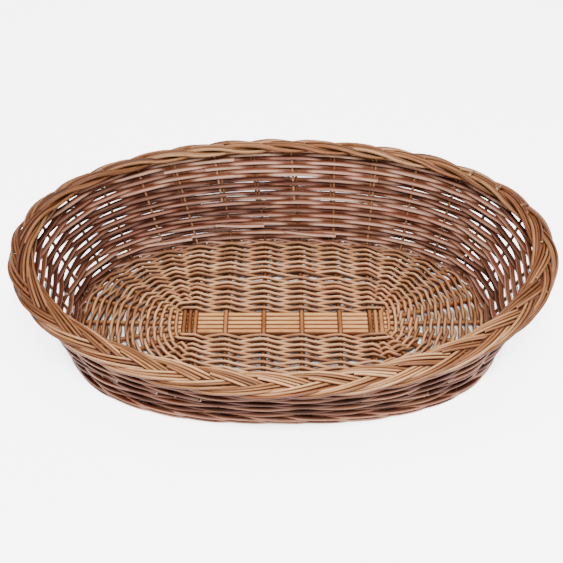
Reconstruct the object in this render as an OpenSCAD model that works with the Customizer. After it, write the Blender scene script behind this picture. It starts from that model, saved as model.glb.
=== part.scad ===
// Oval willow pet bed basket: a pierced-stick base, randed sides that rise towards the back,
// and a plaited border. The origin is under the middle of the basket, on the surface it stands
// on. +X is the long way, +Y points to the high back, and the low entry is at -Y.

/* [Border] */
// Overall length, outside the border
rim_l = 800; // [720:10:880]
// Overall width, outside the border
rim_w = 490; // [450:10:530]
// Height of the border's centre line at the low front
front_h = 100; // [90:1:110]
// Height of the border's centre line at the high back
back_h = 175; // [165:1:190]
// Height of the border's centre line at the two ends
end_h = 154; // [148:1:160]
// Angle by which the border's outer edge dips
border_tilt = 16.6; // [10:0.2:20]
// Sideways swing of each plaited bundle
plait_swing = 14; // [13.5:0.1:14.5]
// Up and down swing of each plaited bundle
plait_rise = 5.5; // [5.5:0.1:6]
// Width of one bundle of rods
bundle_w = 10.8; // [9:0.1:10.8]
// Thickness of one bundle of rods
bundle_t = 4.2; // [3.6:0.1:4.2]

/* [Base] */
// Length of the base at the middle of the wall's foot
base_l = 629; // [610:1:640]
// Width of the base at the middle of the wall's foot
base_w = 385; // [375:1:395]
// How far the base is set towards the low front
base_forward = 8; // [0:1:12]
// Thickness of the woven base
base_t = 17.5; // [17.5:0.1:19]
// Squareness of the base oval (2 is an ellipse)
base_power = 2.57; // [2.4:0.01:2.7]
// Squareness of the rim oval (2 is an ellipse)
rim_power = 2.05; // [2:0.01:2.2]
// How far the middles of the sticks are set towards the front of the base's middle
ladder_forward = 4; // [0:1:6]
// Diameter of a long base stick
long_stick_d = 8.9; // [8.6:0.1:9.1]
// Diameter of a cross stick
cross_stick_d = 7.6; // [7:0.1:7.6]
// Distance between the single cross sticks
cross_pitch = 58.5; // [56:0.5:60]
// Distance from the middle to the centre of each group of three cross sticks
group_x = 143; // [141:1:145]

/* [Side] */
// Thickness of the side weave
weave_t = 10; // [8:0.5:11]
// Diameter of a side stake
stake_d = 5; // [4:0.1:5]
// Height of the waling at the foot of the side
upsett_h = 16; // [14:1:18]
// Thickness of the waling at the foot of the side
upsett_t = 14; // [13:0.5:14.5]
// Height of the top of the lower side weave
lower_h = 46; // [40:1:46]
// Height of the upper side weave
upper_band_h = 45; // [40:1:45]

/* [Hidden] */
long_count = 5;
group_count = 3;
single_count = 4;
cross_count = single_count + 2 * group_count;
stake_count = 30;
cols = 2 * stake_count;
cols_quarter = cols / 4;
outline_steps = 360;
gap = 0.3;
// The stakes and the weave stop this far below the border's centre line.
border_room = 12;
// The shortest packing that is worth a row of its own.
row_h = 7;
bundle_count = 5;
plait_periods = stake_count / bundle_count;
plait_rings = 20 * plait_periods;
bundle_sides = 6;
fine = 32;

border_half_w = plait_swing + bundle_w / 2;
rim_a = rim_l / 2 - border_half_w;
rim_b = rim_w / 2 - border_half_w;
rim_mean_h = (front_h + back_h + 2 * end_h) / 4;
rim_rise = (back_h - front_h) / 2;
rim_saddle = (2 * end_h - front_h - back_h) / 4;
wall_half = upsett_t / 2;
stake_room = stake_d / 2 + 0.4;
// The second stake of a pair stands this far beside the first.
bye_aside = stake_d + 1;
stick_z = base_t / 2;
long_pitch = long_stick_d + 0.3;
ladder_y = -base_forward - ladder_forward;
split_z = long_stick_d / 2 + 0.1;
root_y = 27;
hole_x = 163;
hole_y = 34;
bend_x = 158;
bend_y = 30;
root_size = [5, 7, 2 * split_z + 2];
tie_a = 200;
tie_b = 88;

willow_pale = [0.80, 0.62, 0.42];
willow_tan = [0.71, 0.50, 0.32];
willow_brown = [0.52, 0.35, 0.27];
willow_olive = [0.62, 0.47, 0.30];

// A point of an oval at angle t.
function oval(t, a, b, n) =
    let (r = pow(pow(abs(cos(t)), n) + pow(abs(sin(t)), n), -1 / n))
    [a * cos(t) * r, b * sin(t) * r];

// The outlines as fine polygons, from the +X end anticlockwise.
function outline(a, b, n) = [for (i = [0:outline_steps]) oval(i * 360 / outline_steps, a, b, n)];
base_fine = outline(base_l / 2, base_w / 2, base_power);
rim_fine = outline(rim_a, rim_b, rim_power);

// Running length along a closed polygon at each of its points.
function step(p, i) = norm(p[(i + 1) % len(p)] - p[i]);
function run(p) = [for (i = 0, s = 0; i < len(p); s = s + step(p, i), i = i + 1) s];

// n + 1 points at equal distances round a closed outline.
function evenly(p, n) =
    let (s = run(p), last = s[len(s) - 1],
        xs = [for (i = [0:len(p) - 1]) [s[i], p[i][0]]],
        ys = [for (i = [0:len(p) - 1]) [s[i], p[i][1]]])
    [for (k = [0:n]) [lookup(k * last / n, xs), lookup(k * last / n, ys)]];

// The outward direction at point k of a closed outline of n points.
function outward(p, k, n) =
    let (d = p[(k + 1) % n] - p[(k + n - 1) % n])
    [d[1], -d[0]] / norm(d);

function rim_height(p) =
    let (t = atan2(p[1] / rim_b, p[0] / rim_a))
    rim_mean_h + rim_rise * sin(t) + rim_saddle * cos(2 * t);

base_even = evenly(base_fine, cols);
rim_even = evenly(rim_fine, cols);
rim_rings = evenly(rim_fine, plait_rings);
base_out = [for (k = [0:cols - 1]) outward(base_even, k, cols)];
rim_out = [for (k = [0:cols - 1]) outward(rim_even, k, cols)];
heights = [for (k = [0:cols - 1]) rim_height(rim_even[k])];

// A point of the side at column k, height z, and a level distance out of its middle.
function side_point(k, z, out) =
    let (c = (k + cols) % cols, u = z / heights[c],
        foot = base_even[c] + [0, -base_forward] + out * base_out[c],
        top = rim_even[c] + out * rim_out[c])
    [foot[0] + u * (top[0] - foot[0]), foot[1] + u * (top[1] - foot[1]), z];

// A point of the side at stake s, height z, a distance out of its middle and a distance along it.
function panel_point(s, z, out, along) =
    let (k = (2 * s) % cols, d = [-base_out[k][1], base_out[k][0], 0])
    side_point(k, z, out) + along * d;

// Two triangles of a four-sided face, divided so that the face doesn't dip.
function face_of(p, q) =
    let (a = p[q[0]], b = p[q[1]], c = p[q[2]], d = p[q[3]])
    cross(b - a, c - a) * (d - a) > 0
        ? [[q[0], q[1], q[2]], [q[0], q[2], q[3]]]
        : [[q[0], q[1], q[3]], [q[1], q[2], q[3]]];

// The weave between stake s and the next one: z is [low, high] at its start and at its end.
module panel(s, z0, z1, t, room) {
    e = stake_room;
    pts = [panel_point(s, z0[0], -t / 2, room), panel_point(s, z0[0], t / 2, room),
        panel_point(s, z0[1], t / 2, room), panel_point(s, z0[1], -t / 2, room),
        panel_point(s + 1, z1[0], -t / 2, -e), panel_point(s + 1, z1[0], t / 2, -e),
        panel_point(s + 1, z1[1], t / 2, -e), panel_point(s + 1, z1[1], -t / 2, -e)];
    sides = [[3, 2, 1, 0], [4, 5, 6, 7], [1, 5, 4, 0], [2, 6, 5, 1], [3, 7, 6, 2], [0, 4, 7, 3]];
    polyhedron(pts, [for (q = sides) each face_of(pts, q)]);
}

// A band of the side weave: a panel in each space between two stakes. pairs leaves room for the
// bye-stakes.
module side_band(low, high, t, pairs) {
    for (s = [0:stake_count - 1]) {
        k = 2 * s;
        n = (k + 2) % cols;
        room = pairs && has_bye_stake(s) ? bye_aside + stake_room : stake_room;
        if (high[k] - low[k] > row_h && high[n] - low[n] > row_h)
            panel(s, [low[k], high[k]], [low[n], high[n]], t, room);
    }
}

function has_bye_stake(s) = abs(2 * s - cols_quarter) < 6;

upper_top = [for (h = heights) h - border_room];
packing_top = [for (h = upper_top) h - upper_band_h - gap];
packed = [for (h = packing_top) h - lower_h - gap > row_h];

module upsett() {
    color(willow_brown)
        side_band([for (h = heights) 0], [for (h = heights) upsett_h], upsett_t, false);
}

module lower_side_weave() {
    color(willow_brown)
        side_band([for (h = heights) upsett_h + gap], [for (h = heights) lower_h], weave_t, false);
}

module packing() {
    color(willow_brown)
        side_band([for (h = heights) lower_h + gap], packing_top, weave_t, true);
}

module upper_side_weave() {
    low = [for (k = [0:cols - 1]) packed[k] ? packing_top[k] + gap : lower_h + gap];
    color(willow_brown) side_band(low, upper_top, weave_t, true);
}

// A round rod between two points.
module rod(p, q, d) {
    v = q - p;
    translate(p)
        rotate([0, acos(v[2] / norm(v)), atan2(v[1], v[0])])
            cylinder(h = norm(v), d = d, $fn = fine);
}

// A stake stands in column k from height z0 to just under the border.
module stake(k, z0, aside) {
    along = [-base_out[k][1], base_out[k][0], 0];
    top = side_point(k, heights[k] - border_room, 0);
    rod(side_point(k, z0, 0) + aside * along, top + aside * along, stake_d);
}

module side_stakes() {
    color(willow_olive)
        for (i = [0:stake_count - 1])
            stake(2 * i, 3, 0);
}

module bye_stakes() {
    color(willow_olive)
        for (s = [0:stake_count - 1])
            if (has_bye_stake(s)) stake(2 * s, heights[2 * s] / 2, bye_aside);
}

// Where a base stick that ends beside column k meets the base's edge.
function stick_end(k) =
    let (p = side_point(k, stick_z, -wall_half - 2.5))
    [p[0], p[1], stick_z];

// A stick bends in the middle of the base and runs on to the edge. The knuckle closes the bend.
module stick_run(from, bend, k, d) {
    rod(from, bend, d);
    translate(bend) sphere(d = d + 0.4, $fn = fine);
    rod(bend, stick_end(k), d);
}

function long_y(i) = (i - (long_count + 1) / 2) * long_pitch;

// Where long stick i bends at the +X end, and the column of the side that it runs to.
function long_bend(i) = [bend_x, ladder_y + long_y(i), stick_z];
function long_col(i) = (2 * i - long_count - 1 + cols) % cols;

// Cross sticks count from the -X end: a group of three, four singles, a group of three.
function cross_x(i) =
    i <= group_count ? -group_x + (i - 2) * (cross_stick_d + 1)
    : i > cross_count - group_count ? group_x + (i - cross_count + 1) * (cross_stick_d + 1)
    : (i - (cross_count + 1) / 2) * cross_pitch;

// The column of the side beside the back end of cross stick i.
function cross_col(i) = 2 * (cross_count - i) + 6;

// Where cross stick i bends, at the back (side 1) or the front (side -1).
function cross_bend(i, side) = [cross_x(i), ladder_y + side * bend_y, stick_z];

// Long sticks count from 1 at the front to 5 at the back.
module long_stick(i) {
    y = ladder_y + long_y(i);
    color(willow_pale)
        for (side = [0, 1])
            mirror([side, 0, 0]) stick_run([-1, y, stick_z], long_bend(i), long_col(i), long_stick_d);
}

// Half of a round rod along Y: the flat side is at z = 0 and the round side is up.
module half_rod(l, d) {
    rotate([90, 0, 0])
        linear_extrude(l, center = true)
            intersection() {
                circle(d = d, $fn = fine);
                translate([-d, 0]) square([2 * d, d]);
            }
}

// The split middle of a cross stick grips the long sticks from above and below.
module cross_stick(i) {
    x = cross_x(i);
    color(willow_tan) {
        stick_run([x, ladder_y + root_y, stick_z], cross_bend(i, 1), cross_col(i), cross_stick_d);
        stick_run([x, ladder_y - root_y, stick_z], cross_bend(i, -1), cols - cross_col(i),
            cross_stick_d);
        translate([x, ladder_y, stick_z]) {
            for (side = [0, 1])
                mirror([0, 0, side]) translate([0, 0, split_z]) half_rod(2 * root_y, cross_stick_d);
            for (side = [-1, 1])
                translate([0, side * root_y, 0]) cube(root_size, center = true);
        }
    }
}

// A hole from a stick's bend to beyond the base's edge, with a little room round the stick.
module stick_hole(bend, k, d) {
    end = stick_end(k);
    rod(bend, end + 10 * (end - bend) / norm(end - bend), d + gap);
}

module stick_holes() {
    for (i = [1:long_count], side = [0, 1])
        mirror([side, 0, 0]) stick_hole(long_bend(i), long_col(i), long_stick_d);
    for (i = [1:cross_count]) {
        stick_hole(cross_bend(i, 1), cross_col(i), cross_stick_d);
        stick_hole(cross_bend(i, -1), cols - cross_col(i), cross_stick_d);
    }
}

function tie_oval(grow) =
    [for (i = [0:cols - 1])
        oval(i * 360 / cols, tie_a + grow, tie_b + grow, base_power) - [0, base_forward]];

module inner_base_weave() {
    color(willow_tan)
        difference() {
            linear_extrude(base_t)
                difference() {
                    polygon(tie_oval(0));
                    translate([-hole_x, ladder_y - hole_y]) square([2 * hole_x, 2 * hole_y]);
                }
            stick_holes();
        }
}

module outer_base_weave() {
    edge = [for (k = [0:2:cols - 1]) let (p = side_point(k, 0, -wall_half - 0.4)) [p[0], p[1]]];
    color(willow_tan)
        difference() {
            linear_extrude(base_t)
                difference() {
                    polygon(edge);
                    polygon(tie_oval(gap));
                }
            stick_holes();
        }
}

// A bundle lies on top on its way from either edge to the middle, and underneath on its way out.
function plait_point(k, bundle, turn) =
    let (p = rim_rings[k], o = outward(rim_rings, k, plait_rings), h = rim_height(p),
        across = [o[0] * cos(border_tilt), o[1] * cos(border_tilt), -sin(border_tilt)],
        up = [o[0] * sin(border_tilt), o[1] * sin(border_tilt), cos(border_tilt)],
        phase = 360 * plait_periods * k / plait_rings + 360 * bundle / bundle_count)
    [p[0], p[1], h]
        + across * (plait_swing * sin(phase) + bundle_w / 2 * cos(turn))
        + up * (bundle_t / 2 * sin(turn) - plait_rise * sin(2 * phase));

module border_bundle(bundle) {
    n = bundle_sides;
    pts = [for (k = [0:plait_rings - 1], j = [0:n - 1]) plait_point(k, bundle, j * 360 / n)];
    faces = [for (k = [0:plait_rings - 1], j = [0:n - 1])
        let (a = n * k, b = n * ((k + 1) % plait_rings), m = (j + 1) % n)
        each [[a + j, a + m, b + m], [a + j, b + m, b + j]]];
    color(willow_tan) polyhedron(pts, faces);
}

for (i = [1:long_count])
    long_stick(i);
for (i = [1:cross_count])
    cross_stick(i);
inner_base_weave();
outer_base_weave();
upsett();
side_stakes();
bye_stakes();
lower_side_weave();
packing();
upper_side_weave();
for (i = [1:bundle_count])
    border_bundle(i);
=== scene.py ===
"""Willow pet bed basket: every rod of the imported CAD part's weave, laid one by one.

Metres, in the CAD's own frame: +X along the basket, +Y to the high back, the floor at z = 0.
Places round the basket are counted in stakes, from the +X end anticlockwise, 30 to a turn.
"""

import math

import bpy
import numpy as np
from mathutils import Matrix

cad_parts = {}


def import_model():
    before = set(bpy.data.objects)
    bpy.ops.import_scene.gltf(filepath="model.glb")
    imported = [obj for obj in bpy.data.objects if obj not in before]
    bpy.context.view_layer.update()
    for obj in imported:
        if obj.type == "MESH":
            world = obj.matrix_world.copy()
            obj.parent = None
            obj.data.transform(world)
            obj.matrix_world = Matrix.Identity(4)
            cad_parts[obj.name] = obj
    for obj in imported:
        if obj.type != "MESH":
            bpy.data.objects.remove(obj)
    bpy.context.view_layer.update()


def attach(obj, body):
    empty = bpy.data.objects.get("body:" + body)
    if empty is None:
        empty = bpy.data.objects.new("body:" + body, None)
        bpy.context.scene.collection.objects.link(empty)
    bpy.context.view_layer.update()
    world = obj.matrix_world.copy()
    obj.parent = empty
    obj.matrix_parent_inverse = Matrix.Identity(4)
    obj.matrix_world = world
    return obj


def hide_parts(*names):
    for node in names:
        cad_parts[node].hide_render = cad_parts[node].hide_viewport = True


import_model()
rng = np.random.default_rng(11)

MM = 0.001

# ---- driving sizes ----------------------------------------------------------------------
# Most are the CAD's. The rods run nearer the rim and the edge of the base than its solids do.
STAKES = 30
BACK = STAKES / 4
RIM_L, RIM_W = 800 * MM, 490 * MM
RIM_POWER = 2.05
FRONT_H, BACK_H, END_H = 100 * MM, 175 * MM, 154 * MM
BORDER_HALF_W = 19.4 * MM
BORDER_TILT = math.radians(16.6)
BORDER_ROOM = -2 * MM
BASE_L, BASE_W = 629 * MM, 385 * MM
BASE_POWER = 2.57
BASE_FORWARD = 8 * MM
BASE_EDGE_INSET = 6.2 * MM
LONG_STICKS = 5
LONG_R = 4.55 * MM
LONG_PITCH = 9.2 * MM
LADDER_Y = -12 * MM
CROSS_STICKS = 10
CROSS_R = 3.8 * MM
CROSS_PITCH = 58.5 * MM
GROUP_X = 143 * MM
GROUP_PITCH = 8.6 * MM
BEND_X, BEND_Y = 158 * MM, 30 * MM
STICK_Z = 8.75 * MM
UPSETT_H = 16 * MM
LOWER_H = 46.5 * MM
UPPER_BAND_H = 54 * MM
STAKE_R = 2.3 * MM
ROD_R = 3.6 * MM
ROD_SWING = 2.8 * MM
END_SWING = 0.8 * MM
ROD_NEST = 2.0 * MM
# A rod is this much thicker at its butt than at its tip, as a share of its thickness.
TAPER = 0.16


# ---- camera -----------------------------------------------------------------------------
def camera():
    """Where the photograph was taken from: in front, well above the basket."""
    distance = 1.6434
    elevation = math.radians(44)
    cam = bpy.data.cameras.new("camera")
    cam.sensor_width = 36
    cam.lens = 67.7
    cam.shift_x = -0.0024
    cam.shift_y = 0.0794
    eye = bpy.data.objects.new("camera", cam)
    bpy.context.scene.collection.objects.link(eye)
    eye.location = (0, -BASE_FORWARD - distance * math.cos(elevation), distance * math.sin(elevation))
    eye.rotation_euler = (math.pi / 2 - elevation, 0, 0)
    bpy.context.scene.camera = eye


camera()


# ---- outlines ---------------------------------------------------------------------------
OUTLINE_STEPS = 2880


class Oval:
    """A closed outline with equal distances between its stakes."""

    def __init__(self, a, b, power, y=0.0):
        t = np.linspace(0, 2 * np.pi, OUTLINE_STEPS + 1)
        c, s = np.cos(t), np.sin(t)
        r = (abs(c) ** power + abs(s) ** power) ** (-1 / power)
        self.x, self.y = a * c * r, b * s * r + y
        step = np.hypot(np.diff(self.x), np.diff(self.y))
        self.run = np.concatenate([[0], np.cumsum(step)])
        self.length = self.run[-1]

    def at(self, s):
        d = np.mod(np.asarray(s, float) / STAKES, 1) * self.length
        return np.stack([np.interp(d, self.run, self.x), np.interp(d, self.run, self.y)], -1)

    def out(self, s):
        s = np.asarray(s, float)
        near = 0.05
        d = self.at(s + near) - self.at(s - near)
        n = np.stack([d[..., 1], -d[..., 0]], -1)
        return n / np.linalg.norm(n, axis=-1, keepdims=True)


RIM_A, RIM_B = RIM_L / 2 - BORDER_HALF_W, RIM_W / 2 - BORDER_HALF_W
rim = Oval(RIM_A, RIM_B, RIM_POWER)
foot = Oval(BASE_L / 2, BASE_W / 2, BASE_POWER, -BASE_FORWARD)


def angle_at(s):
    """A place in stakes as an angle round the basket."""
    return 2 * np.pi * np.asarray(s) / STAKES


def smooth(x):
    x = np.clip(x, 0, 1)
    return x * x * (3 - 2 * x)


def rim_height(s):
    """Height of the border's centre line: low in front, high at the back."""
    p = rim.at(s)
    t = np.arctan2(p[..., 1] / RIM_B, p[..., 0] / RIM_A)
    mean = (FRONT_H + BACK_H + 2 * END_H) / 4
    saddle = (2 * END_H - FRONT_H - BACK_H) / 4
    return mean + (BACK_H - FRONT_H) / 2 * np.sin(t) + saddle * np.cos(2 * t)


def wander(s, size, waves=5):
    """A smooth closed random curve, for hand-made unevenness."""
    s = np.asarray(s, float)
    total = np.zeros_like(s)
    for k in range(1, waves + 1):
        total += rng.normal() / k * np.cos(2 * np.pi * k * s / STAKES + rng.uniform(0, 6.3))
    return size * total


# How far each stake's top leans along the rim, and how far all of them lean at the back, in stakes.
LEAN_LIMIT = 0.08
STAKE_LEAN = np.clip(rng.normal(0, 0.045, STAKES), -LEAN_LIMIT, LEAN_LIMIT)
BACK_LEAN = 0.22


def lean(s, u):
    """Stakes lean a little sideways, most of all at the back."""
    k = np.arange(-1, STAKES + 2)
    each = np.interp(np.mod(s, STAKES), k, STAKE_LEAN[k % STAKES])
    back = np.clip(np.sin(angle_at(np.mod(s, STAKES))), 0, 1)
    return u * (each + BACK_LEAN * back)


def side(s, z, out=0.0):
    """A point of the side at place s and height z, a distance out from its middle."""
    s, z, out = np.broadcast_arrays(np.asarray(s, float), z, out)
    s = s + lean(s, z / rim_height(s))
    low = foot.at(s) + out[..., None] * foot.out(s)
    top = rim.at(s) + out[..., None] * rim.out(s)
    u = (z / rim_height(s))[..., None]
    return np.concatenate([low + u * (top - low), z[..., None]], -1)


# ---- rods -------------------------------------------------------------------------------
def spline(points, per, closed=True):
    """A smooth curve through points, per samples to each span."""
    p = np.asarray(points, float)
    n = len(p)
    if closed:
        index = np.arange(n * per) / per
    else:
        index = np.arange((n - 1) * per + 1) / per
    k = np.minimum(index.astype(int), n - 1 if closed else n - 2)
    f = (index - k)[:, None]
    pick = (lambda i: p[np.mod(i, n)]) if closed else (lambda i: p[np.clip(i, 0, n - 1)])
    a, b, c, d = pick(k - 1), pick(k), pick(k + 1), pick(k + 2)
    return 0.5 * (2 * b + (c - a) * f + (2 * a - 5 * b + 4 * c - d) * f**2 + (3 * b - a - 3 * c + d) * f**3)


# A willow rod isn't quite round, and swells a little at each bud.
OUT_OF_ROUND = 0.035
ROUNDS_PER_METRE = 9
BUD_SWELL = 0.10
BUD_LENGTH = 3.5 * MM
BUD_GAP = (0.05, 0.11)
BUD_TURN = 2.4
# Where the painted shade on a rod's sides starts, as the sine of the angle from its face, and over how much
# it fades in.
WALL_TOUCH, TOUCH, TOUCH_FADE = 0.2, 0.35, 0.5


class Rods:
    """Gathers swept rods into one mesh with what its material needs on each point."""

    def __init__(self):
        self.verts, self.faces, self.grain, self.facts = [], [], [], []
        self.count = 0

    def _add(self, verts, faces, grain, facts):
        """facts is one row for each point: tone, second, bud, cut, touch, age."""
        self.verts.append(verts)
        self.faces += (faces + self.count).tolist()
        self.grain.append(grain)
        self.facts.append(facts)
        self.count += len(verts)

    def rod(
        self,
        path,
        radius,
        sides=10,
        up=(0, 0, 1),
        flat=1.0,
        tone=None,
        wall=False,
        crease=(1, 1),
        shade=0.0,
        inner=0.0,
        age=0.0,
    ):
        """One round rod along a path. up keeps its section from turning.

        A rod of a wall touches others above and below, any other rod at its two sides.
        crease is how much painted shade each of those sides gets, shade paints shade all round and inner
        paints shade on the face towards the middle of the basket. The last argument browns the whole rod:
        painted shade on the side, stakes and border, plain browning at the ends of the base.
        """
        path = np.asarray(path, float)
        n = len(path)
        radius = np.broadcast_to(np.asarray(radius, float), (n,))
        tangent = np.gradient(path, axis=0)
        tangent /= np.linalg.norm(tangent, axis=1, keepdims=True)
        up = np.broadcast_to(np.asarray(up, float), (n, 3))
        v = up - np.sum(up * tangent, 1)[:, None] * tangent
        v /= np.linalg.norm(v, axis=1, keepdims=True)
        w = np.cross(tangent, v)
        along = np.concatenate([[0], np.cumsum(np.linalg.norm(np.diff(path, axis=0), axis=1))])
        tone = rng.uniform() if tone is None else tone
        second = rng.uniform()
        seat = rng.uniform(0, 0.4, 3)
        turn = np.arange(sides) * 2 * np.pi / sides
        oval = 1 + OUT_OF_ROUND * np.cos(2 * (turn[None, :] + along[:, None] * ROUNDS_PER_METRE + seat[0]))
        bud = self._buds(along, turn)
        r = radius[:, None] * oval * (1 + BUD_SWELL * bud)
        ring = path[:, None] + r[..., None] * (
            np.cos(turn)[None, :, None] * v[:, None] * flat + np.sin(turn)[None, :, None] * w[:, None]
        )
        i, j = np.meshgrid(np.arange(n - 1), np.arange(sides), indexing="ij")
        a = i * sides + j
        b = i * sides + (j + 1) % sides
        c = (i + 1) * sides
        quads = np.stack([a, c + j, c + (j + 1) % sides, b], -1).reshape(-1, 4)
        length = np.repeat(along[:, None], sides, 1)
        grain = np.stack([r * np.cos(turn) + seat[0], r * np.sin(turn) + seat[1], length + seat[2]], -1)
        toward = np.cos(turn) if wall else np.sin(turn)
        touch = smooth((abs(toward) - (WALL_TOUCH if wall else TOUCH)) / TOUCH_FADE)
        touch = touch * np.where(toward > 0, crease[1], crease[0])
        shade = np.broadcast_to(np.asarray(shade, float), (n,))
        inner = np.broadcast_to(np.asarray(inner, float), (n,))
        touch = np.maximum(touch[None, :], shade[:, None])
        touch = np.maximum(touch, inner[:, None] * smooth(0.6 - np.sin(turn))[None, :])
        age = np.repeat(np.broadcast_to(np.asarray(age, float), (n,)), sides)
        same = np.ones(n * sides)
        facts = [tone * same, second * same, bud.reshape(-1), 0 * same, touch.reshape(-1), age]
        facts = np.stack(facts, -1)
        self._add(ring.reshape(-1, 3), quads, grain.reshape(-1, 3), facts)
        self._cap(ring[0], path[0] - tangent[0] * radius[0] * 0.15, grain[0], tone, second, True)
        self._cap(ring[-1], path[-1] + tangent[-1] * radius[-1] * 0.15, grain[-1], tone, second, False)

    def _buds(self, along, turn):
        """How much of a bud each point is: one every few centimetres, each on another side."""
        bud = np.zeros((len(along), len(turn)))
        place = rng.uniform(0.01, 0.09)
        face = rng.uniform(0, 6.3)
        while place < along[-1]:
            near = np.exp(-(((along - place) / BUD_LENGTH) ** 2))[:, None]
            bud += near * (0.35 + 0.65 * np.clip(np.cos(turn - face), 0, 1)[None, :] ** 3)
            place += rng.uniform(*BUD_GAP)
            face += BUD_TURN
        return bud

    def _cap(self, ring, centre, grain, tone, second, first):
        """A cut end: pale wood with a darker pith."""
        n = len(ring)
        inner = centre + (ring - ring.mean(0)) * 0.75
        verts = np.concatenate([ring, inner, [centre]])
        k = np.arange(n)
        m = (k + 1) % n
        rim_faces = np.stack([k, m, n + m, n + k], -1)
        hub = np.stack([n + k, n + m, np.full(n, 2 * n), np.full(n, 2 * n)], -1)
        faces = np.concatenate([rim_faces, hub])
        if not first:
            faces = faces[:, ::-1]
        cut = np.concatenate([np.full(n, 0.35), np.full(n, 1.0), [2.0]])
        zero = np.zeros(2 * n + 1)
        facts = np.stack([zero + tone, zero + second, zero, cut, zero, zero], -1)
        self._add(verts, faces, np.concatenate([grain, grain, grain[:1]]), facts)

    def piece(self, name, material, slot, *nodes):
        """Makes the gathered rods one object, in place of the CAD nodes it names."""
        verts = np.concatenate(self.verts)
        faces = [f if f[2] != f[3] and f[0] != f[1] else list(dict.fromkeys(f)) for f in self.faces]
        mesh = bpy.data.meshes.new(name)
        mesh.from_pydata(verts.tolist(), [], faces)
        mesh.polygons.foreach_set("use_smooth", [True] * len(mesh.polygons))
        grain = mesh.attributes.new("grain", "FLOAT_VECTOR", "POINT")
        grain.data.foreach_set("vector", np.concatenate(self.grain).astype(np.float32).ravel())
        facts = np.concatenate(self.facts).astype(np.float32)
        for column, fact in enumerate(("tone", "second", "bud", "cut", "touch", "age")):
            mesh.attributes.new(fact, "FLOAT", "POINT").data.foreach_set("value", facts[:, column].copy())
        mesh.update()
        piece = bpy.data.objects.new(name, mesh)
        bpy.context.scene.collection.objects.link(piece)
        mesh.materials.append(material)
        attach(piece, "root")
        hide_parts(*nodes)


# ---- willow -----------------------------------------------------------------------------
# How often each pattern repeats in a metre: across the rod twice, then along it.
FIBRES = (1500, 1500, 35)
STREAKS = (420, 420, 10)
PATCHES = (120, 120, 22)
STAINS = (60, 60, 7)
FIBRE_SHARE, STREAK_SHARE, PATCH_SHARE = 0.30, 0.42, 0.28
CONTRAST = 1.9
TONE_SPREAD = 0.62
# How red the reddest rods are, and which stains are red.
BLUSH = 0.3
STAIN_START, STAIN_STRENGTH = 0.56, 1.6
# Each of these colours is multiplied into the willow's. The second paints shade on much of the side, stakes
# and border and browns the ends of the base; the third paints the shade where rods touch, under sticks and
# behind stakes.
RED_TINT = (0.97, 0.49, 0.42)
SHADE_AND_BROWN_TINT = (0.41, 0.325, 0.275)
PAINTED_SHADE_TINT = (0.20, 0.105, 0.068)
RELIEF_DEPTH = 0.6 * MM


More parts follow.
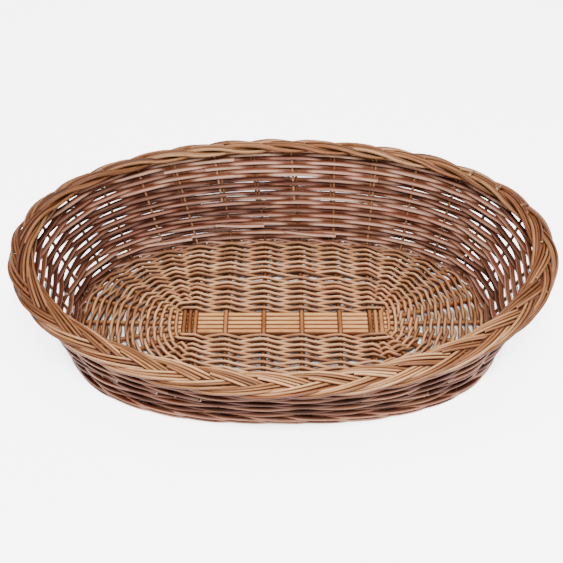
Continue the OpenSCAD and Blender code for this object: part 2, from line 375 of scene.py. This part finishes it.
def willow(name, dark, mid, light, rough=0.5, cut_tone=1.0, gloss=0.15):
    """Bark or steamed wood: long fibres, mottling, stains, darker buds, pale cut ends.

    dark, mid and light are the colours of one rod, and cut_tone is how pale its cut ends are.
    """
    m = bpy.data.materials.new(name)
    m.use_nodes = True
    nodes, links = m.node_tree.nodes, m.node_tree.links
    nodes.clear()

    def node(kind, **values):
        n = nodes.new(kind)
        for key, value in values.items():
            setattr(n, key, value)
        return n

    def attribute(title):
        return node("ShaderNodeAttribute", attribute_name=title)

    def maths(kind, a, b=None, clamp=False):
        n = node("ShaderNodeMath", operation=kind, use_clamp=clamp)
        for socket, value in zip(n.inputs, (a, b)):
            if value is None:
                continue
            if isinstance(value, (int, float)):
                socket.default_value = value
            else:
                links.new(value, socket)
        return n.outputs[0]

    def mix(kind, factor, a, b):
        n = node("ShaderNodeMix", data_type="RGBA", blend_type=kind)
        for socket, value in ((n.inputs[0], factor), (n.inputs[6], a), (n.inputs[7], b)):
            if isinstance(value, (int, float)):
                socket.default_value = value
            elif isinstance(value, tuple):
                socket.default_value = (*value, 1)
            else:
                links.new(value, socket)
        return n.outputs[2]

    def noise(scale_xyz, detail):
        mapping = node("ShaderNodeMapping")
        mapping.inputs["Scale"].default_value = scale_xyz
        links.new(grain.outputs["Vector"], mapping.inputs["Vector"])
        n = node("ShaderNodeTexNoise")
        n.inputs["Scale"].default_value = 1.0
        n.inputs["Detail"].default_value = detail
        n.inputs["Roughness"].default_value = 0.6
        links.new(mapping.outputs[0], n.inputs["Vector"])
        return n.outputs[0]

    grain = attribute("grain")
    tone = attribute("tone").outputs["Fac"]
    second = attribute("second").outputs["Fac"]
    bud = attribute("bud").outputs["Fac"]
    cut = attribute("cut").outputs["Fac"]
    touch = attribute("touch").outputs["Fac"]
    age = attribute("age").outputs["Fac"]
    fibre = noise(FIBRES, 4)
    streak = noise(STREAKS, 3)
    patch = noise(PATCHES, 3)
    stain = noise(STAINS, 2)

    ramp = node("ShaderNodeValToRGB")
    stops = ramp.color_ramp.elements
    stops.new(0.5)
    for k, (place, tint) in enumerate(((0.1, dark), (0.5, mid), (0.9, light))):
        stops[k].position = place
        stops[k].color = (*tint, 1)
    level = maths("MULTIPLY", fibre, FIBRE_SHARE)
    level = maths("ADD", level, maths("MULTIPLY", streak, STREAK_SHARE))
    level = maths("ADD", level, maths("MULTIPLY", patch, PATCH_SHARE))
    level = maths("SUBTRACT", level, 0.5)
    level = maths("MULTIPLY", level, CONTRAST)
    level = maths("ADD", level, maths("MULTIPLY", maths("SUBTRACT", tone, 0.5), TONE_SPREAD))
    level = maths("ADD", level, 0.5, clamp=True)
    links.new(level, ramp.inputs["Fac"])
    colour = ramp.outputs["Color"]
    # Some rods, and some lengths of every rod, are redder or browner.
    reddish = maths("MULTIPLY", maths("POWER", second, 1.6), BLUSH)
    stained = maths("MULTIPLY", maths("SUBTRACT", stain, STAIN_START), STAIN_STRENGTH)
    reddish = maths("ADD", reddish, stained, clamp=True)
    colour = mix("MULTIPLY", reddish, colour, RED_TINT)
    colour = mix("MIX", maths("MULTIPLY", bud, 0.45, clamp=True), colour, tuple(0.45 * c for c in mid))
    # Painted shade on much of the side, the stakes and the border, and plain browning at the ends of the
    # base.
    colour = mix("MULTIPLY", age, colour, SHADE_AND_BROWN_TINT)
    # Painted shade, mottled: the sides where rods touch, the lengths the weave hides, the front of the side
    # and the faces behind stakes.
    painted_shade = maths("MULTIPLY", touch, maths("ADD", maths("MULTIPLY", patch, 0.8), 0.6), clamp=True)
    colour = mix("MULTIPLY", painted_shade, colour, PAINTED_SHADE_TINT)
    pale = tuple(min(1.0, cut_tone * (1.12 * c + 0.03)) for c in light)
    pith = mix("MIX", maths("SUBTRACT", cut, 1.0, clamp=True), pale, tuple(0.5 * c for c in mid))
    colour = mix("MIX", maths("MULTIPLY", cut, 0.9, clamp=True), colour, pith)

    shader = node("ShaderNodeBsdfPrincipled")
    links.new(colour, shader.inputs["Base Color"])
    roughness = maths("ADD", maths("MULTIPLY", streak, 0.30), rough - 0.15)
    links.new(roughness, shader.inputs["Roughness"])
    shader.inputs["Specular IOR Level"].default_value = gloss
    shader.inputs["Coat Weight"].default_value = 0.03
    shader.inputs["Coat Roughness"].default_value = 0.35
    height = maths("ADD", maths("MULTIPLY", fibre, 0.5), maths("MULTIPLY", streak, 1.0))
    height = maths("ADD", height, maths("MULTIPLY", patch, 0.8))
    relief = node("ShaderNodeBump")
    relief.inputs["Strength"].default_value = 0.55
    relief.inputs["Distance"].default_value = RELIEF_DEPTH
    links.new(height, relief.inputs["Height"])
    links.new(relief.outputs["Normal"], shader.inputs["Normal"])
    output = node("ShaderNodeOutputMaterial")
    links.new(shader.outputs[0], output.inputs["Surface"])
    return m


LONG_WILLOW = willow(
    "long_stick_willow",
    dark=(0.16, 0.052, 0.013),
    mid=(0.41, 0.18, 0.054),
    light=(0.58, 0.31, 0.115),
)
CROSS_WILLOW = willow(
    "cross_stick_willow",
    dark=(0.09, 0.028, 0.008),
    mid=(0.24, 0.090, 0.028),
    light=(0.42, 0.20, 0.08),
)
BASE_WILLOW = willow(
    "base_willow",
    dark=(0.13, 0.050, 0.019),
    mid=(0.42, 0.218, 0.104),
    light=(0.61, 0.385, 0.215),
)
SIDE_WILLOW = willow(
    "side_willow",
    dark=(0.09, 0.032, 0.018),
    mid=(0.40, 0.220, 0.160),
    light=(0.71, 0.475, 0.355),
    rough=0.38,
    cut_tone=0.35,
    gloss=0.06,
)
STAKE_WILLOW = willow(
    "stake_willow",
    dark=(0.08, 0.030, 0.012),
    mid=(0.22, 0.10, 0.045),
    light=(0.42, 0.24, 0.12),
)
BORDER_WILLOW = willow(
    "border_willow",
    dark=(0.095, 0.031, 0.009),
    mid=(0.31, 0.139, 0.053),
    light=(0.59, 0.35, 0.175),
    rough=0.46,
    cut_tone=0.55,
)


# ---- base -------------------------------------------------------------------------------
# How far inside the bend of each cross stick its weave starts.
WEAVE_START = 4 * MM
# How far apart the points of a stick's path are, which also rounds its bends.
STICK_STEP = 7 * MM
# How far from the ladder's middle line a split stick is fully open, and how far it is still nearly so.
SPLIT_OPEN, SPLIT_CLOSING = 11 * MM, 21 * MM
PAIR_ROWS = 14
# Rows of the inner weave, and rows short enough for one rod to go all the way round.
INNER_ROWS = 4
SHORT_ROWS = 6
PAIR_R = 2.85 * MM
# How far a rod of a pair passes over and under a stick, and how far the two twist sideways.
PAIR_LIFT = 6.8 * MM
PAIR_TWIST = 2.3 * MM
PAIR_WANDER = 0.8 * MM
# From the bends to the edge there is room for this many rows, and the first lies this far out, in rows.
ROWS_TO_EDGE = PAIR_ROWS - 0.45
FIRST_ROUND = 0.35
# How straight a pair's rods run between sticks, where 1 is a zigzag, and what makes up for the lost height.
PAIR_STRAIGHT, PAIR_REGAIN = 0.985, 1.12
PAIR_SHADE = 0.55
# The middle of the lowest rods is this many radii above the floor, so most buds stay above it too.
FLOOR_ROOM = 1.12
# The first rounds tie the sticks together in blocks.
TYING_ROWS = 2
# The weave gets browner towards the two ends of the base.
BROWN_FROM, BROWN_LENGTH, BROWN_AGE = 150 * MM, 90 * MM, 0.5


def long_y(i):
    return (i - (LONG_STICKS + 1) / 2) * LONG_PITCH + LADDER_Y


def cross_x(i):
    if i <= 3:
        return -GROUP_X + (i - 2) * GROUP_PITCH
    if i > CROSS_STICKS - 3:
        return GROUP_X + (i - CROSS_STICKS + 1) * GROUP_PITCH
    return (i - (CROSS_STICKS + 1) / 2) * CROSS_PITCH


def edge_point(place):
    """Where the stick that ends at a place meets the edge of the base."""
    return foot.at(place) - BASE_EDGE_INSET * foot.out(place)


def stick_lines():
    """For each of the 30 stick ends, where its weave starts and where it meets the edge."""
    first = BEND_Y - WEAVE_START
    inner = {}
    for i in range(1, LONG_STICKS + 1):
        inner[(i - 3) % STAKES] = (BEND_X + 1 * MM, long_y(i))
        inner[STAKES // 2 - (i - 3)] = (-BEND_X - 1 * MM, long_y(i))
    for i in range(1, CROSS_STICKS + 1):
        inner[CROSS_STICKS - i + 3] = (cross_x(i), LADDER_Y + first)
        inner[STAKES - (CROSS_STICKS - i + 3)] = (cross_x(i), LADDER_Y - first)
    a = np.array([inner[k] for k in range(STAKES)])
    b = np.array([edge_point(k) for k in range(STAKES)])
    return a, b


STICK_IN, STICK_OUT = stick_lines()
# Stick ends that the tying rounds take together: the long sticks, and each group of three.
BLOCKS = [(28, 29, 0, 1, 2), (3, 4, 5), (6,), (7,), (8,), (9,), (10, 11, 12), (13, 14, 15, 16, 17)]
BLOCKS += [(18, 19, 20), (21,), (22,), (23,), (24,), (25, 26, 27)]


def pairing_phase(row):
    """Half turns of the pair at each stick end, and the total for one round."""
    if row >= TYING_ROWS:
        return np.arange(STAKES, dtype=float), float(STAKES)
    phase = np.zeros(STAKES)
    for number, block in enumerate(BLOCKS):
        for k in block:
            phase[k] = number
    # The first block starts before place 0, so there it comes at the end of the round.
    phase[BLOCKS[0][0] :] = len(BLOCKS)
    return phase, float(len(BLOCKS))


def pair_round(rods, row):
    """One round of pairing: two rods that twist between the sticks, one over and one under."""
    f = (row + FIRST_ROUND) / ROWS_TO_EDGE
    guide = STICK_IN + f * (STICK_OUT - STICK_IN)
    phase, turns = pairing_phase(row)
    per = 14
    plan = spline(guide, per)
    place = np.arange(STAKES * per) / per
    steps = np.append(phase, phase[0] + turns)
    half_turns = np.interp(place, np.arange(STAKES + 1), steps)
    d = np.roll(plan, -1, 0) - np.roll(plan, 1, 0)
    out = np.stack([d[:, 1], -d[:, 0]], -1)
    out /= np.linalg.norm(out, axis=1, keepdims=True)
    wave = wander(place, PAIR_WANDER)
    pieces = 1 if row < SHORT_ROWS else 2
    # The two rods of a round start at different places.
    for m in (0, 1):
        angle = np.pi * (half_turns + m)
        # The stiff rods run nearly straight from stick to stick and bend over each one.
        bend = np.arcsin(PAIR_STRAIGHT * np.cos(angle)) * 2 / np.pi * PAIR_REGAIN
        lift = PAIR_LIFT * bend * rng.uniform(0.92, 1.06)
        # The basket stands on its lowest rods.
        lift = np.maximum(lift, PAIR_R * FLOOR_ROOM - STICK_Z)
        xy = plan + (PAIR_TWIST * np.sin(angle) + wave)[:, None] * out
        path = np.concatenate([xy, (STICK_Z + lift)[:, None]], 1)
        age = BROWN_AGE * smooth((abs(plan[:, 0]) - BROWN_FROM) / BROWN_LENGTH)
        lay(rods, path, PAIR_R, pieces, shade=PAIR_SHADE * smooth(-lift / PAIR_LIFT), age=age)


def lay(rods, path, radius, pieces, overlap=6, wall=False, **look):
    """Lays rods end to end round a closed path; each tapers from butt to tip.

    look holds what rod() takes for shade, inner and age: one number, or one for each point.
    """
    n = len(path)
    radius = np.broadcast_to(radius, (n,))
    look = {name: np.broadcast_to(value, (n,)) for name, value in look.items()}
    start = int(rng.uniform(0, n))
    span = n // pieces
    for k in range(pieces):
        first = start + k * span
        last = first + span + overlap
        i = np.arange(first, last) % n
        f = np.linspace(0, 1, len(i))
        r = radius[i] * (1 + TAPER * (0.5 - f)) * rng.uniform(0.95, 1.05)
        rods.rod(path[i], r, wall=wall, **{name: value[i] for name, value in look.items()})


def base_weave():
    inner = Rods()
    for row in range(INNER_ROWS):
        pair_round(inner, row)
    inner.piece("base_tying_rods", BASE_WILLOW, "base_willow", "inner_base_weave")
    outer = Rods()
    for row in range(INNER_ROWS, PAIR_ROWS):
        pair_round(outer, row)
    outer.piece("base_pairing_rods", BASE_WILLOW, "base_willow", "outer_base_weave")


def stick_path(guide):
    """Straight from point to point, with a small bend at each."""
    guide = np.asarray(guide, float)
    run = np.concatenate([[0], np.cumsum(np.linalg.norm(np.diff(guide, axis=0), axis=1))])
    along = np.linspace(0, run[-1], int(run[-1] / STICK_STEP) + 1)
    even = np.stack([np.interp(along, run, guide[:, k]) for k in range(3)], -1)
    return spline(even, 3, closed=False)


def base_sticks():
    for i in range(1, LONG_STICKS + 1):
        rods = Rods()
        y = long_y(i)
        left, right = edge_point(STAKES // 2 - (i - 3)), edge_point((i - 3) % STAKES)
        guide = [(*left, STICK_Z)]
        guide += [(x, y, STICK_Z) for x in (-BEND_X, -BEND_X / 2, 0, BEND_X / 2, BEND_X)]
        guide += [(*right, STICK_Z)]
        path = stick_path(guide)
        fan = smooth((abs(path[:, 0]) - BEND_X + 5 * MM) / (40 * MM))
        rods.rod(path, LONG_R * 1.05 - fan * 1.0 * MM, sides=14, shade=0.8 * fan)
        rods.piece(f"slath_long_{i}", LONG_WILLOW, "long_stick_willow", f"long_stick_{i}")
    for i in range(1, CROSS_STICKS + 1):
        rods = Rods()
        x = cross_x(i)
        back, front = edge_point(CROSS_STICKS - i + 3), edge_point(STAKES - (CROSS_STICKS - i + 3))
        reach = BEND_Y - 3 * MM
        for half in (-1, 1):
            split = LONG_R + CROSS_R * 0.55 if half > 0 else STICK_Z - CROSS_R * 0.9
            guide = [(*front, STICK_Z), (x, LADDER_Y - reach, STICK_Z)]
            guide += [(x, LADDER_Y - SPLIT_CLOSING, STICK_Z + half * split * 0.9)]
            guide += [(x, LADDER_Y + y, STICK_Z + half * split) for y in (-SPLIT_OPEN, 0, SPLIT_OPEN)]
            guide += [(x, LADDER_Y + SPLIT_CLOSING, STICK_Z + half * split * 0.9)]
            guide += [(x, LADDER_Y + reach, STICK_Z), (*back, STICK_Z)]
            path = stick_path(guide)
            beyond = smooth((abs(path[:, 1] - LADDER_Y) - BEND_Y) / (8 * MM))
            rods.rod(path, CROSS_R, sides=12, flat=0.8, shade=0.8 * beyond)
        rods.piece(f"slath_cross_{i}", CROSS_WILLOW, "cross_stick_willow", f"cross_stick_{i}")


# ---- side -------------------------------------------------------------------------------
PER_STAKE = 12
PACKING_PAIRS = 5
PACKING_PITCH = 7.6 * MM
# The two rows of a pair end this far past and this far short of where there is room for one, in stakes.
PACKING_ENDS = (0.6, -0.5)
LOWER_ROWS = 4
UPPER_ROWS = 8
ROW_WANDER = 0.35 * MM
# The first rows of the upper weave are this much wider apart than their mean, the last this much closer.
BEATEN_DOWN = 0.12
# Place and height of the rods that start inside the foot of the back, with a cut end.
CUT_BUTTS = ((10.12, 28 * MM), (7.98, 43 * MM), (5.93, 27 * MM))


def packing_height(s):
    return rim_height(s) - BORDER_ROOM - UPPER_BAND_H - LOWER_H


def packing_reach():
    """How far from the back's middle each packing row runs, shortest first."""
    d = np.linspace(0, STAKES / 2, 600)  # one step is a fortieth of a stake
    height = packing_height(BACK + d)
    reach = []
    for pair in range(PACKING_PAIRS):
        need = (2 * pair + 1) * PACKING_PITCH
        last = d[height >= need].max()
        reach += [last + end for end in PACKING_ENDS]
    return sorted(reach)


REACH = packing_reach()


def shares(s):
    """How much of each packing row is present at place s."""
    d = abs(np.mod(s - BACK + STAKES / 2, STAKES) - STAKES / 2)
    return np.stack([smooth((r - d) / 1.2 + 0.5) for r in REACH])


def row_height(band, i, s):
    """Height of row i of a band of the side at place s."""
    if band == "lower":
        return UPSETT_H + (i + 0.5) / LOWER_ROWS * (LOWER_H - UPSETT_H) + 0 * s
    share = shares(s)
    total = np.maximum(share.sum(0), 1e-6)
    height = np.maximum(packing_height(s), 0)
    if band == "packing":
        return LOWER_H + height * (share[:i].sum(0) + 0.5 * share[i]) / total
    low = LOWER_H + height * np.clip(share.sum(0), 0, 1)
    top = rim_height(s) - BORDER_ROOM
    # The last rows are beaten down more tightly than the first.
    f = (i + 0.5) / UPPER_ROWS
    return low + (f + BEATEN_DOWN * f * (1 - f)) * (top - low)


def rod_size(s):
    """The rods are thinnest in front, thicker at the back and thickest at the ends."""
    turn = angle_at(s)
    return ROD_R * (1 + 0.06 * np.sin(turn)) + 0.3 * MM * np.cos(turn) ** 4


def side_shade(s):
    """How much painted shade browns the side's rods: most of all in front, less at the ends, the left end
    more than the right, none at the back.
    """
    turn = angle_at(s)
    dark = np.clip(-1.3 * np.sin(turn), 0, 1) + 0.62 * np.cos(turn) ** 2 - 0.18 * np.cos(turn)
    return np.clip(dark, 0, 1)


def rand_path(s, z, parity):
    """In front of one stake and behind the next, with how much painted shade the rod's inner face gets
    behind a stake.
    """
    weave = np.cos(np.pi * (s + parity))
    # Rods inside the stakes sit a little higher at the back, where the wall leans out most.
    nest = -ROD_NEST * np.sin(angle_at(s))
    swing = ROD_SWING + END_SWING * np.cos(angle_at(s)) ** 4
    return side(s, z + nest * weave, swing * weave), np.clip(1.2 * weave + 0.15, 0, 1)


def rand_row(rods, band, i):
    """A full round of the side: two rods, end to end."""
    s = np.arange(STAKES * PER_STAKE) / PER_STAKE
    z = row_height(band, i, s) + wander(s, ROW_WANDER, 8)
    path, inner = rand_path(s, z, i % 2)
    # Painted shade: on inner faces behind stakes, at the ends, and most of all in front.
    look = {"inner": inner, "age": side_shade(s), "shade": 0.6 * np.clip(-np.sin(angle_at(s)), 0, 1)}
    lay(rods, path, rod_size(s), 2, overlap=PER_STAKE, wall=True, **look)


def packing_row(rods, i):
    """A short row of two rods, across the back and part of the ends."""
    reach = REACH[i]
    s = np.linspace(BACK - reach, BACK + reach, int(2 * reach * PER_STAKE))
    z = row_height("packing", i, s) + wander(s, ROW_WANDER, 8)
    path, inner = rand_path(s, z, i % 2)
    f = np.linspace(0, 1, len(s))
    half = len(s) // 2 + 5
    for part in (slice(0, half), slice(len(s) - half, None)):
        r = rod_size(s[part]) * (1 + TAPER * (0.5 - f[part])) * rng.uniform(0.95, 1.05)
        rods.rod(path[part], r, wall=True, inner=inner[part], age=side_shade(s[part]))


def cut_butt(rods, s, z):
    """The thick end of a rod, which comes in from outside and ends inside the stakes."""
    f = np.linspace(0, 1, 24)
    path = side(s + 1.8 * (1 - f), z + 0 * f, (2.5 - 8.5 * smooth(1.4 * f)) * MM)
    rods.rod(path, ROD_R * (0.9 + 0.2 * f), wall=True, tone=0.8)


def side_weave():
    lower = Rods()
    for i in range(LOWER_ROWS):
        rand_row(lower, "lower", i)
    for s, z in CUT_BUTTS:
        cut_butt(lower, s, z)
    lower.piece("lower_side_rods", SIDE_WILLOW, "side_willow", "lower_side_weave")
    packing = Rods()
    for i in range(2 * PACKING_PAIRS):
        packing_row(packing, i)
    packing.piece("packing_rods", SIDE_WILLOW, "side_willow", "packing")
    upper = Rods()
    for i in range(UPPER_ROWS):
        rand_row(upper, "upper", i)
    upper.piece("upper_side_rods", SIDE_WILLOW, "side_willow", "upper_side_weave")


WALING_R = 3.0 * MM
WALING_LEVELS = (4.9 * MM, 12.2 * MM)
WALING_RODS = 3
WALING_RISE = 1.9 * MM


def upsett():
    """Two rounds of three-rod waling: outside two stakes, inside the third."""
    rods = Rods()
    s = np.arange(STAKES * PER_STAKE) / PER_STAKE
    for level in WALING_LEVELS:
        for m in range(WALING_RODS):
            p = 2 * np.pi * (s - m) / WALING_RODS
            # 5.2 mm inside the stake at p = 0, and 5.2 mm outside each of the next two.
            out = (1.73 - 5.73 * np.cos(p) - 1.2 * np.cos(2 * p)) * MM
            z = level + WALING_RISE * np.sin(p)
            lay(rods, side(s, z, out), WALING_R, 2, overlap=4, wall=True, age=side_shade(s))
    rods.piece("waling_rods", SIDE_WILLOW, "side_willow", "upsett")


BYE_STAKE_GAP = 5.4 * MM


def stakes():
    """The upright rods: one at each place, and a second beside it at the top of the back."""
    rods = Rods()
    for k in range(STAKES):
        z = np.linspace(3 * MM, rim_height(np.array(float(k))) - 4 * MM, 40)
        front = max(0.0, -math.sin(2 * math.pi * k / STAKES))
        path = side(np.full(len(z), float(k)), z, -1.5 * MM * front)
        end = math.cos(2 * math.pi * k / STAKES) ** 4
        size = np.linspace(STAKE_R * 1.05, STAKE_R * 0.95, len(z)) * (1 + 0.15 * end)
        # Painted shade on every stake, most of all in front and at the two ends.
        rods.rod(path, size, up=(*rim.out(k), 0), shade=0.2 + 0.6 * front, age=0.6 * end)
    rods.piece("stake_rods", STAKE_WILLOW, "stake_willow", "side_stakes")
    extra = Rods()
    for k in np.arange(BACK - 2.5, BACK + 3, 1):
        top = rim_height(np.array(k)) - 7 * MM
        z = np.linspace(0.5 * top, top, 24)
        beside = BYE_STAKE_GAP / (rim.length / STAKES)
        path = side(np.full(len(z), k + beside), z, 0.0)
        extra.rod(path, STAKE_R * 0.92, up=(*rim.out(k), 0))
    extra.piece("bye_stake_rods", STAKE_WILLOW, "stake_willow", "bye_stakes")


# ---- border -----------------------------------------------------------------------------
BUNDLES = 5
LANES = (-1, 0, 1)
BORDER_R = 2.35 * MM
LANE_PITCH = 5.2 * MM
PLAIT_SWING = 14.4 * MM
PLAIT_RISE = 4.7 * MM
TURNS = STAKES // BUNDLES
# Path points in one turn of the plait.
TURN_STEPS = 84
# Where in each half turn a bundle is underneath, and where in each turn its inner stroke starts.
JOINT_AT = 0.06
INNER_STROKE_AT = 0.80
# Place of each cut stake tip that lies across the border, and how far in it is moved.
BORDER_STUBS = ((1.2, 0.0), (1.95, 6 * MM), (2.75, 6 * MM))


def border_frame(s):
    """Centre, across (outwards and down) and up directions of the border at place s."""
    p, o = rim.at(s), rim.out(s)
    c, t = math.cos(BORDER_TILT), math.sin(BORDER_TILT)
    centre = np.concatenate([p, rim_height(s)[:, None]], 1)
    across = np.concatenate([o * c, np.full((len(s), 1), -t)], 1)
    up = np.concatenate([o * t, np.full((len(s), 1), c)], 1)
    return centre, across, up


def plait_place(turn, bundle):
    """Where round the rim a bundle is after some turns of the plait."""
    return BUNDLES * (turn - bundle / BUNDLES)


def plait_path(turn, bundle, lane, rise=0.0):
    """The path of one rod of a bundle: lane is its place across the bundle.

    The rods lie side by side in the middle of the border and close up at its edges.
    """
    angle = 2 * np.pi * turn
    centre, across, up = border_frame(plait_place(turn, bundle))
    wave = np.sin(2 * angle)
    spread = np.abs(np.cos(angle))
    x = PLAIT_SWING * np.sin(angle) + lane * LANE_PITCH * (0.5 + 0.5 * spread)
    z = -PLAIT_RISE * np.sign(wave) * np.abs(wave) ** 0.8 - 1.6 * MM * lane * np.sin(angle) * (1 - spread)
    return centre + x[:, None] * across + (z + rise)[:, None] * up, up


def border_age(s):
    """Painted shade on the border's rods: darkest at its two ends, the left most of all, some at the back
    and none in front.
    """
    turn = angle_at(s)
    return np.cos(turn) ** 4 - 0.10 * np.cos(turn) + 0.45 * np.clip(np.sin(turn), 0, 1)


def border_stub(rods, s, inward):
    """A cut stake tip that lies across the border."""
    centre, across, up = border_frame(np.full(12, s))
    f = np.linspace(0, 1, 12)[:, None]
    path = centre + ((-8.5 + 13.0 * f) * MM - inward) * across + (6.6 + 1.6 * f) * MM * up
    rods.rod(path, STAKE_R * 1.1, up=up, tone=0.45, age=0.6)


def running_rods(rods, bundle, lane):
    """One lane of a bundle, all round the rim: rods that follow each other end to end."""
    # Joints lie where the bundle is underneath.
    joint = JOINT_AT + 0.5 * rng.integers(0, 3)
    last = joint + TURNS
    while joint < last - 0.1:
        span = 0.5 * rng.integers(3, 6)
        if last - joint - span < 1:
            span = last - joint
        turn = np.arange(joint - 0.04, joint + span + 0.02, 1 / TURN_STEPS)
        drift = np.interp(turn, [turn[0], turn[-1]], rng.normal(0, 0.10, 2))
        path, up = plait_path(turn, bundle, lane + drift, rng.normal(0, 0.45 * MM))
        size = np.linspace(1.07, 0.93, len(turn)) * rng.uniform(0.95, 1.03)
        # Painted shade, darkest at the ends of the border.
        aged = border_age(plait_place(turn, bundle))
        rods.rod(path, BORDER_R * size, up=up, crease=(0.35 if lane < 0 else 1, 1), age=aged)
        joint += span


def fourth_rod(rods, bundle, k):
    """The short rod on top of an inner stroke. Its far end dives in under the bundle."""
    start = k + INNER_STROKE_AT + rng.uniform(-0.015, 0.015)
    turn = np.arange(start, start + 0.26, 1 / TURN_STEPS)
    dive = smooth((turn - start - 0.16) / 0.10)
    path, up = plait_path(turn, bundle, 2 - 1.5 * dive, (0.4 - 3.0 * dive) * MM)
    rods.rod(path, BORDER_R * 1.02, up=up, age=border_age(plait_place(turn, bundle)))


def border():
    """Three rods run on in each bundle, and a fourth starts on top of every inner stroke."""
    for bundle in range(BUNDLES):
        rods = Rods()
        for lane in LANES:
            running_rods(rods, bundle, lane)
        for k in range(TURNS):
            fourth_rod(rods, bundle, k)
        if bundle == 0:
            for s, inward in BORDER_STUBS:
                border_stub(rods, s, inward)
        rods.piece(f"plait_{bundle + 1}", BORDER_WILLOW, "border_willow", f"border_bundle_{bundle + 1}")


base_sticks()
base_weave()
upsett()
stakes()
side_weave()
border()


# ---- stage ------------------------------------------------------------------------------
FLOOR_GLOW = 4.5
# Far away the glow fades until the floor is as bright as the world behind it.
GLOW_FADE = (3.0, 16.0)
HORIZON_GLOW = 0.17
# The glow starts at the foot of the basket and is full a little way outside it, in sizes of the foot.
GLOW_START, GLOW_FULL = 0.98, 1.12
FLOOR_REACH = 30.0
LIGHT_AIM = (0, 0, 0.1)


def glowing_floor():
    """A grey studio floor that glows white round the basket, a painted light; under the basket it has no
    glow and stays grey as painted shade, and far away the glow fades.
    """
    m = bpy.data.materials.new("floor")
    m.use_nodes = True
    nodes, links = m.node_tree.nodes, m.node_tree.links
    shader = nodes["Principled BSDF"]
    shader.inputs["Base Color"].default_value = (0.75, 0.75, 0.75, 1)
    shader.inputs["Roughness"].default_value = 0.9
    place = nodes.new("ShaderNodeTexCoord")
    oval = nodes.new("ShaderNodeMapping")
    oval.vector_type = "TEXTURE"
    oval.inputs["Location"].default_value = (0, -BASE_FORWARD, 0)
    oval.inputs["Scale"].default_value = (BASE_L / 2, BASE_W / 2, 1)
    links.new(place.outputs["Object"], oval.inputs["Vector"])
    far = nodes.new("ShaderNodeVectorMath")
    far.operation = "LENGTH"
    links.new(oval.outputs[0], far.inputs[0])
    glow = nodes.new("ShaderNodeMapRange")
    glow.inputs["From Min"].default_value = GLOW_START
    glow.inputs["From Max"].default_value = GLOW_FULL
    links.new(far.outputs["Value"], glow.inputs["Value"])
    reach = nodes.new("ShaderNodeVectorMath")
    reach.operation = "LENGTH"
    links.new(place.outputs["Object"], reach.inputs[0])
    fade = nodes.new("ShaderNodeMapRange")
    fade.interpolation_type = "SMOOTHERSTEP"
    limits = (*GLOW_FADE, FLOOR_GLOW, HORIZON_GLOW)
    for title, value in zip(("From Min", "From Max", "To Min", "To Max"), limits):
        fade.inputs[title].default_value = value
    links.new(reach.outputs["Value"], fade.inputs["Value"])
    strength = nodes.new("ShaderNodeMath")
    strength.operation = "MULTIPLY"
    links.new(glow.outputs[0], strength.inputs[0])
    links.new(fade.outputs[0], strength.inputs[1])
    links.new(strength.outputs[0], shader.inputs["Emission Strength"])
    shader.inputs["Emission Color"].default_value = (1, 1, 1, 1)
    return m


def floor():
    mesh = bpy.data.meshes.new("floor")
    r = FLOOR_REACH
    mesh.from_pydata([(-r, -r, 0), (r, -r, 0), (r, r, 0), (-r, r, 0)], [], [(0, 1, 2, 3)])
    ground = bpy.data.objects.new("floor", mesh)
    bpy.context.scene.collection.objects.link(ground)
    mesh.materials.append(glowing_floor())


def area(name, place, size, power):
    """A soft rectangular light that points at the basket."""
    light = bpy.data.lights.new(name, "AREA")
    light.shape = "RECTANGLE"
    light.size, light.size_y = size
    light.energy = power
    lamp = bpy.data.objects.new(name, light)
    bpy.context.scene.collection.objects.link(lamp)
    lamp.location = place
    direction = np.subtract(LIGHT_AIM, place)
    yaw = math.atan2(direction[0], -direction[1])
    pitch = math.atan2(math.hypot(direction[0], direction[1]), -direction[2])
    lamp.rotation_euler = (pitch, 0, yaw + math.pi)


def world(strength):
    w = bpy.data.worlds.new("studio")
    w.use_nodes = True
    w.node_tree.nodes["Background"].inputs[0].default_value = (1, 1, 1, 1)
    w.node_tree.nodes["Background"].inputs[1].default_value = strength
    bpy.context.scene.world = w


floor()
area("key", place=(0.1, -1.7, 3.1), size=(1.2, 0.9), power=280)
area("fill", place=(1.9, -1.4, 1.5), size=(1.4, 1.2), power=20)
area("top", place=(0, 0.6, 2.8), size=(2.0, 1.4), power=50)
world(0.68)
